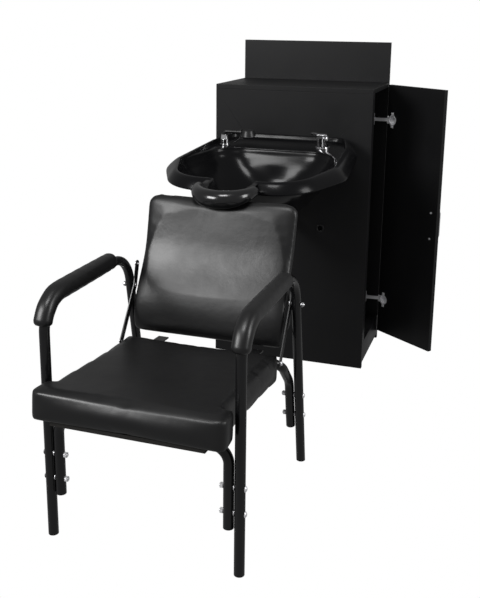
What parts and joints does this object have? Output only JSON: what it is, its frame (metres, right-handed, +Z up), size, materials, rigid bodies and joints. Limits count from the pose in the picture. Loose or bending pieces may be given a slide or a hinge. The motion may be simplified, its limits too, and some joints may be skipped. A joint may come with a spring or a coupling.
{
  "type": "shampoo backwash unit",
  "caption": "Salon backwash unit: padded shampoo chair on a tube frame before a black cabinet with tilted washing bowl, neck rest, mixer, hand spray and side door.",
  "frame": {"origin": "on the floor, middle of the cabinet front panel's bottom edge", "axes": "+Z up, +Y from the chair towards the cabinet back, +X to the side with the door"},
  "size_m": [0.7949, 1.7003, 1.156],
  "materials": {
    "black_melamine": "satin",
    "hinge_steel": "satin",
    "zinc_fasteners": "satin",
    "chrome_parts": "polished",
    "gloss_bowl_plastic": "gloss",
    "neck_gel": "gloss",
    "black_plastic": "satin",
    "brass_nut": "satin",
    "spray_plate": "matte",
    "satin_handle": "satin",
    "black_tube": "gloss",
    "black_steel": "satin",
    "black_vinyl": "gloss",
    "plywood": "matte"
  },
  "bodies": {
    "cabinet": {"front_panel": "black_melamine", "left_side_panel": "black_melamine", "back_panel": "black_melamine", "top_board": "black_melamine", "splash_board": "black_melamine", "bottom_shelf": "black_melamine", "plinth_rail": "black_melamine", "front_stile": "black_melamine", "hinge_plates": "hinge_steel", "hinge_arms": "hinge_steel", "hose_grommet": "black_plastic", "bowl_bracket": "black_steel", "bracket_bolts": "zinc_fasteners", "bowl": "gloss_bowl_plastic", "neck_rest": "neck_gel", "drain_flange": "chrome_parts", "drain_nut": "black_plastic", "bottle_trap": "black_plastic", "waste_pipe": "black_plastic", "waste_escutcheon": "chrome_parts", "mixer_base": "chrome_parts", "mixer_nut": "brass_nut", "supply_tails": "chrome_parts", "spray_guide": "chrome_parts", "guide_nut": "black_plastic"},
    "door": {"door_panel": "black_melamine", "hinge_cups": "hinge_steel", "door_handle": "satin_handle", "handle_screws": "zinc_fasteners"},
    "mixer_cap": {"mixer_cap": "chrome_parts"},
    "mixer_lever": {"mixer_lever": "chrome_parts"},
    "spray": {"spray_handle": "black_plastic", "spray_face": "spray_plate"},
    "spray_trigger": {"spray_trigger": "chrome_parts"},
    "chair_frame": {"left_side_frame": "black_tube", "right_side_frame": "black_tube", "front_cross_tube": "black_tube", "rear_cross_tube": "black_tube", "leg_tips": "black_plastic", "cross_tube_plugs": "black_plastic", "frame_bolts": "zinc_fasteners", "frame_nuts": "zinc_fasteners", "tube_spacers": "zinc_fasteners", "left_arm_pad": "black_vinyl", "right_arm_pad": "black_vinyl", "pivot_bolts": "zinc_fasteners", "pivot_nuts": "chrome_parts"},
    "seat": {"seat_cushion": "black_vinyl", "seat_board": "plywood", "seat_glides": "black_plastic", "seat_hangers": "black_steel"},
    "backrest": {"back_cushion": "black_vinyl", "back_board": "plywood", "left_back_bar": "black_steel", "right_back_bar": "black_steel", "back_bar_bolts": "zinc_fasteners", "link_bolts": "zinc_fasteners", "back_stays": "black_steel"},
    "strainer": {"strainer": "chrome_parts"}
  },
  "joints": [
    {"name": "door_hinge", "type": "hinge", "parent": "cabinet", "child": "door", "pos_m": [0.2865, 0.311, 0.5], "axis": [0, 0, 1], "range_deg": [-54, 38]},
    {"name": "mixer_turn", "type": "hinge", "parent": "cabinet", "child": "mixer_cap", "pos_m": [0.143, -0.13746, 0.8464], "axis": [0, -0.0847, 0.9964], "range_deg": [-45, 45]},
    {"name": "mixer_lift", "type": "hinge", "parent": "mixer_cap", "child": "mixer_lever", "pos_m": [0.155, -0.13916, 0.86633], "axis": [0, 1, 0], "range_deg": [0, 22]},
    {"name": "spray_lift", "type": "slide", "parent": "cabinet", "child": "spray", "axis": [0, -0.0847, 0.9964], "range_m": [0, 0.12]},
    {"name": "trigger_press", "type": "hinge", "parent": "spray", "child": "spray_trigger", "pos_m": [-0.129, -0.17085, 0.84958], "axis": [0, 1, 0], "range_deg": [0, 22], "stiffness_Nm_per_rad": 0.02, "springref_deg": -11.46},
    {"name": "strainer_lift", "type": "slide", "parent": "cabinet", "child": "strainer", "axis": [0, -0.0847, 0.9964], "range_m": [0, 0.05]},
    {"name": "chair_shift", "type": "slide", "parent": "cabinet", "child": "chair_frame", "axis": [0, -1, 0], "range_m": [0, 0.4]},
    {"name": "back_recline", "type": "hinge", "parent": "chair_frame", "child": "backrest", "pos_m": [0, -0.8116, 0.508], "axis": [-1, 0, 0], "range_deg": [0, 12]},
    {"name": "seat_slide", "type": "slide", "parent": "chair_frame", "child": "seat", "axis": [0, -0.9966, 0.0828], "range_m": [0, 0.026]}
  ],
  "couplings": [
    {"joint": "seat_slide", "follows": "back_recline", "m_per_rad": 0.124}
  ]
}
